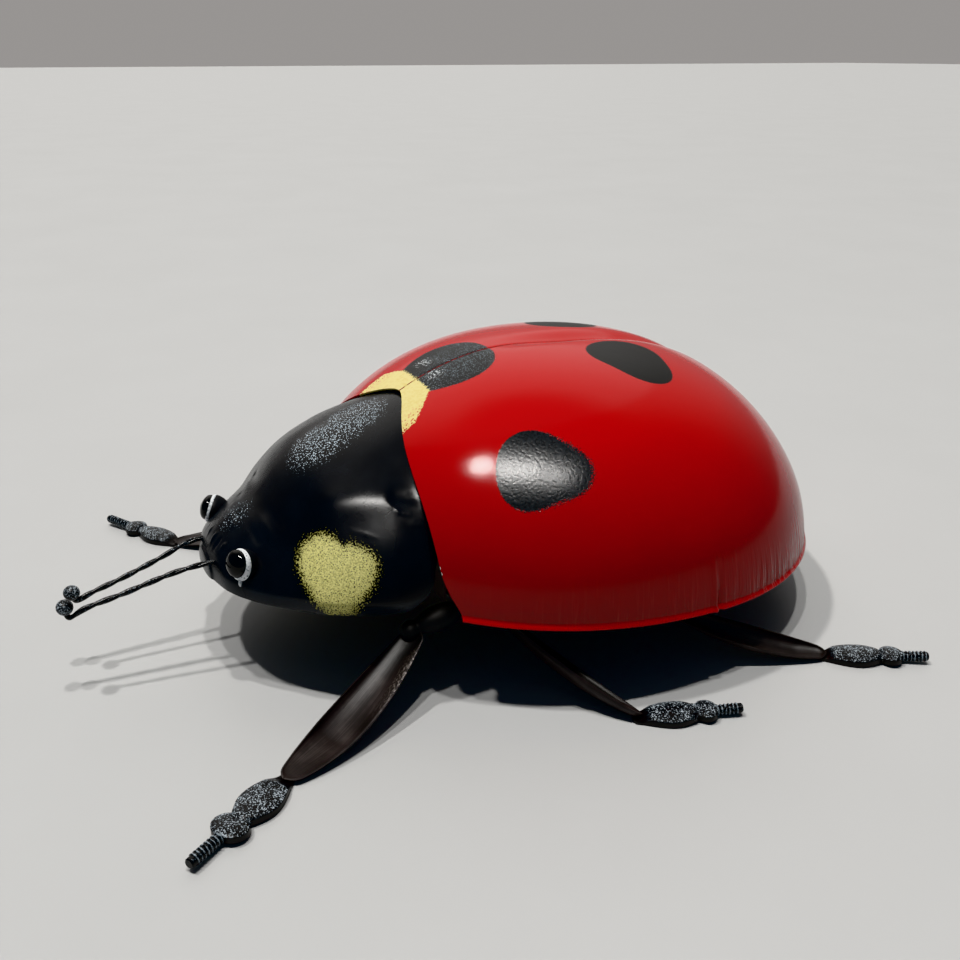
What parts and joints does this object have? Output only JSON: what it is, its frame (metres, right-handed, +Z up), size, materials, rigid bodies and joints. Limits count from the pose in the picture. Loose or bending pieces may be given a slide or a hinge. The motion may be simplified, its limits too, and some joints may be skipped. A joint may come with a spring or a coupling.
{
  "type": "garden ladybird ornament",
  "caption": "Large painted sheet-steel ladybird ornament: domed split wing cases, hollow head, button eyes, wire antennae and leaf-shaped legs on lobed feet.",
  "frame": {"origin": "on the floor under the middle of the whole figure, feelers included", "axes": "+Z up, -Y towards the head, +X towards the ladybird's own left side"},
  "size_m": [0.4804, 0.562, 0.1884],
  "materials": {
    "red_enamel": "glossy red enamel on pressed steel, with five black spots and two cream crescents",
    "black_enamel": "satin to glossy black enamel, with a stippled yellow patch on each side of the pronotum",
    "inner_paint": "flat dark grey primer on the plate and bars that close the body",
    "eye_enamel": "black button with a hand painted white ring and a glossy black pupil",
    "wire_enamel": "black enamel with dabs of silver on twisted wire and ribbed bar",
    "speckled_enamel": "black enamel stippled with silver white",
    "brown_enamel": "worn brown black enamel with a brushed sheen"
  },
  "bodies": {
    "root": {"wing_case_left": "red_enamel", "wing_case_right": "red_enamel", "pronotum": "black_enamel", "head": "black_enamel", "neck_plate": "inner_paint", "front_strap": "inner_paint", "rear_strap": "inner_paint", "eye_left": "eye_enamel", "eye_right": "eye_enamel", "antenna_left": "wire_enamel", "antenna_ball_left": "speckled_enamel", "antenna_right": "wire_enamel", "antenna_ball_right": "speckled_enamel", "front_left_coxa": "black_enamel", "front_left_femur": "brown_enamel", "front_left_tarsus": "speckled_enamel", "front_left_claw": "wire_enamel", "front_right_coxa": "black_enamel", "front_right_femur": "brown_enamel", "front_right_tarsus": "speckled_enamel", "front_right_claw": "wire_enamel", "middle_left_coxa": "black_enamel", "middle_left_femur": "brown_enamel", "middle_left_tarsus": "speckled_enamel", "middle_left_claw": "wire_enamel", "middle_right_coxa": "black_enamel", "middle_right_femur": "brown_enamel", "middle_right_tarsus": "speckled_enamel", "middle_right_claw": "wire_enamel", "hind_left_coxa": "black_enamel", "hind_left_femur": "brown_enamel", "hind_left_tarsus": "speckled_enamel", "hind_left_claw": "wire_enamel", "hind_right_coxa": "black_enamel", "hind_right_femur": "brown_enamel", "hind_right_tarsus": "speckled_enamel", "hind_right_claw": "wire_enamel"}
  },
  "joints": []
}
